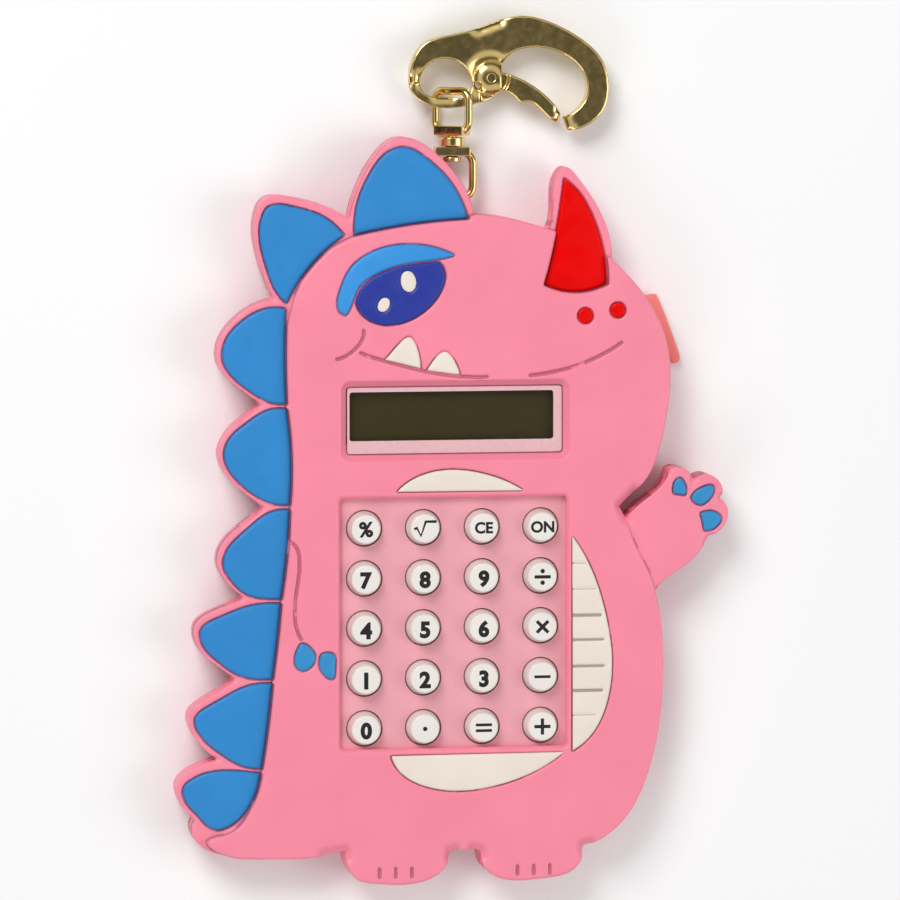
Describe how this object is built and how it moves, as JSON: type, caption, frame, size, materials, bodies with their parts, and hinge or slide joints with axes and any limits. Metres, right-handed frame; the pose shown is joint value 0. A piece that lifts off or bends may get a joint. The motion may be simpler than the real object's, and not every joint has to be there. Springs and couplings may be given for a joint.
{
  "type": "pocket calculator",
  "caption": "Dinosaur-shaped pocket calculator: soft moulded sleeve round a module with round press keys and a display, hung from a swivel chain with a spring clasp.",
  "frame": {"origin": "middle of the footprint, on the desk the back lies on", "axes": "+Z out of the key face, +Y towards the head and chain, +X to the right when reading the keys"},
  "size_m": [0.0948, 0.1476, 0.0102],
  "materials": {
    "pink_vinyl": "satin",
    "blue_vinyl": "satin",
    "red_vinyl": "satin",
    "cream_vinyl": "satin",
    "eye_blue": "satin",
    "pink_plastic": "gloss",
    "key_white": "satin",
    "frame_pale": "satin",
    "clear": "gloss",
    "lcd": "gloss",
    "board_green": "matte",
    "black_epoxy": "matte",
    "grey_silicone": "matte",
    "steel": "satin",
    "gold": "gloss",
    "tab_pink": "satin"
  },
  "bodies": {
    "figure": {"sleeve": "pink_vinyl", "back_cover": "pink_vinyl", "side_tab": "tab_pink", "spike_pads": "blue_vinyl", "horn_pad": "red_vinyl", "hand_claws": "blue_vinyl", "arm_claws": "blue_vinyl", "brow_pad": "blue_vinyl", "eye_pad": "eye_blue", "teeth": "cream_vinyl", "belly_pads": "cream_vinyl", "eye_glints": "cream_vinyl", "nostrils": "red_vinyl", "module_front": "pink_plastic", "module_back": "pink_plastic", "case_screws": "steel", "display_frame": "frame_pale", "display_lens": "clear", "display_glass": "lcd", "contact_strip": "grey_silicone", "circuit_board": "board_green", "chip_blob": "black_epoxy", "key_mat": "grey_silicone", "button_cell": "steel", "cell_contacts": "steel"},
    "door": {"battery_door": "pink_plastic", "door_screw": "steel"},
    "key_percent_cap": {"key_percent": "key_white"},
    "key_root_cap": {"key_root": "key_white"},
    "key_clear_cap": {"key_clear": "key_white"},
    "key_on_cap": {"key_on": "key_white"},
    "key_7_cap": {"key_7": "key_white"},
    "key_8_cap": {"key_8": "key_white"},
    "key_9_cap": {"key_9": "key_white"},
    "key_divide_cap": {"key_divide": "key_white"},
    "key_4_cap": {"key_4": "key_white"},
    "key_5_cap": {"key_5": "key_white"},
    "key_6_cap": {"key_6": "key_white"},
    "key_times_cap": {"key_times": "key_white"},
    "key_1_cap": {"key_1": "key_white"},
    "key_2_cap": {"key_2": "key_white"},
    "key_3_cap": {"key_3": "key_white"},
    "key_minus_cap": {"key_minus": "key_white"},
    "key_0_cap": {"key_0": "key_white"},
    "key_point_cap": {"key_point": "key_white"},
    "key_equals_cap": {"key_equals": "key_white"},
    "key_plus_cap": {"key_plus": "key_white"},
    "loop": {"lower_loop": "gold"},
    "link": {"swivel_link": "gold"},
    "clasp": {"clasp_body": "gold", "gate_pin": "gold"},
    "gate": {"clasp_gate": "gold"}
  },
  "joints": [
    {"name": "key_percent_press", "type": "slide", "parent": "figure", "child": "key_percent_cap", "axis": [0, 0, -1], "range_m": [0, 0.001], "stiffness_N_per_m": 800, "springref_m": -0.0002},
    {"name": "key_root_press", "type": "slide", "parent": "figure", "child": "key_root_cap", "axis": [0, 0, -1], "range_m": [0, 0.001], "stiffness_N_per_m": 800, "springref_m": -0.0002},
    {"name": "key_clear_press", "type": "slide", "parent": "figure", "child": "key_clear_cap", "axis": [0, 0, -1], "range_m": [0, 0.001], "stiffness_N_per_m": 800, "springref_m": -0.0002},
    {"name": "key_on_press", "type": "slide", "parent": "figure", "child": "key_on_cap", "axis": [0, 0, -1], "range_m": [0, 0.001], "stiffness_N_per_m": 800, "springref_m": -0.0002},
    {"name": "key_7_press", "type": "slide", "parent": "figure", "child": "key_7_cap", "axis": [0, 0, -1], "range_m": [0, 0.001], "stiffness_N_per_m": 800, "springref_m": -0.0002},
    {"name": "key_8_press", "type": "slide", "parent": "figure", "child": "key_8_cap", "axis": [0, 0, -1], "range_m": [0, 0.001], "stiffness_N_per_m": 800, "springref_m": -0.0002},
    {"name": "key_9_press", "type": "slide", "parent": "figure", "child": "key_9_cap", "axis": [0, 0, -1], "range_m": [0, 0.001], "stiffness_N_per_m": 800, "springref_m": -0.0002},
    {"name": "key_divide_press", "type": "slide", "parent": "figure", "child": "key_divide_cap", "axis": [0, 0, -1], "range_m": [0, 0.001], "stiffness_N_per_m": 800, "springref_m": -0.0002},
    {"name": "key_4_press", "type": "slide", "parent": "figure", "child": "key_4_cap", "axis": [0, 0, -1], "range_m": [0, 0.001], "stiffness_N_per_m": 800, "springref_m": -0.0002},
    {"name": "key_5_press", "type": "slide", "parent": "figure", "child": "key_5_cap", "axis": [0, 0, -1], "range_m": [0, 0.001], "stiffness_N_per_m": 800, "springref_m": -0.0002},
    {"name": "key_6_press", "type": "slide", "parent": "figure", "child": "key_6_cap", "axis": [0, 0, -1], "range_m": [0, 0.001], "stiffness_N_per_m": 800, "springref_m": -0.0002},
    {"name": "key_times_press", "type": "slide", "parent": "figure", "child": "key_times_cap", "axis": [0, 0, -1], "range_m": [0, 0.001], "stiffness_N_per_m": 800, "springref_m": -0.0002},
    {"name": "key_1_press", "type": "slide", "parent": "figure", "child": "key_1_cap", "axis": [0, 0, -1], "range_m": [0, 0.001], "stiffness_N_per_m": 800, "springref_m": -0.0002},
    {"name": "key_2_press", "type": "slide", "parent": "figure", "child": "key_2_cap", "axis": [0, 0, -1], "range_m": [0, 0.001], "stiffness_N_per_m": 800, "springref_m": -0.0002},
    {"name": "key_3_press", "type": "slide", "parent": "figure", "child": "key_3_cap", "axis": [0, 0, -1], "range_m": [0, 0.001], "stiffness_N_per_m": 800, "springref_m": -0.0002},
    {"name": "key_minus_press", "type": "slide", "parent": "figure", "child": "key_minus_cap", "axis": [0, 0, -1], "range_m": [0, 0.001], "stiffness_N_per_m": 800, "springref_m": -0.0002},
    {"name": "key_0_press", "type": "slide", "parent": "figure", "child": "key_0_cap", "axis": [0, 0, -1], "range_m": [0, 0.001], "stiffness_N_per_m": 800, "springref_m": -0.0002},
    {"name": "key_point_press", "type": "slide", "parent": "figure", "child": "key_point_cap", "axis": [0, 0, -1], "range_m": [0, 0.001], "stiffness_N_per_m": 800, "springref_m": -0.0002},
    {"name": "key_equals_press", "type": "slide", "parent": "figure", "child": "key_equals_cap", "axis": [0, 0, -1], "range_m": [0, 0.001], "stiffness_N_per_m": 800, "springref_m": -0.0002},
    {"name": "key_plus_press", "type": "slide", "parent": "figure", "child": "key_plus_cap", "axis": [0, 0, -1], "range_m": [0, 0.001], "stiffness_N_per_m": 800, "springref_m": -0.0002},
    {"name": "battery_door_off", "type": "slide", "parent": "figure", "child": "door", "axis": [0, 0, -1], "range_m": [0, 0.008]},
    {"name": "loop_hinge", "type": "hinge", "parent": "figure", "child": "loop", "pos_m": [0.00043, 0.04285, 0.0034], "axis": [1, 0, 0], "range_deg": [-95, 0]},
    {"name": "swivel", "type": "hinge", "parent": "loop", "child": "link", "pos_m": [0.00043, 0.05085, 0.0034], "axis": [0, 1, 0], "continuous": true},
    {"name": "clasp_swing", "type": "hinge", "parent": "link", "child": "clasp", "pos_m": [0.00043, 0.06105, 0.0034], "axis": [0.7071, 0, 0.7071], "range_deg": [-20, 20]},
    {"name": "gate_open", "type": "hinge", "parent": "clasp", "child": "gate", "pos_m": [0.00703, 0.06325, 0.0034], "axis": [0, 0, 1], "range_deg": [0, 22], "stiffness_Nm_per_rad": 0.02, "springref_deg": -8.59}
  ]
}
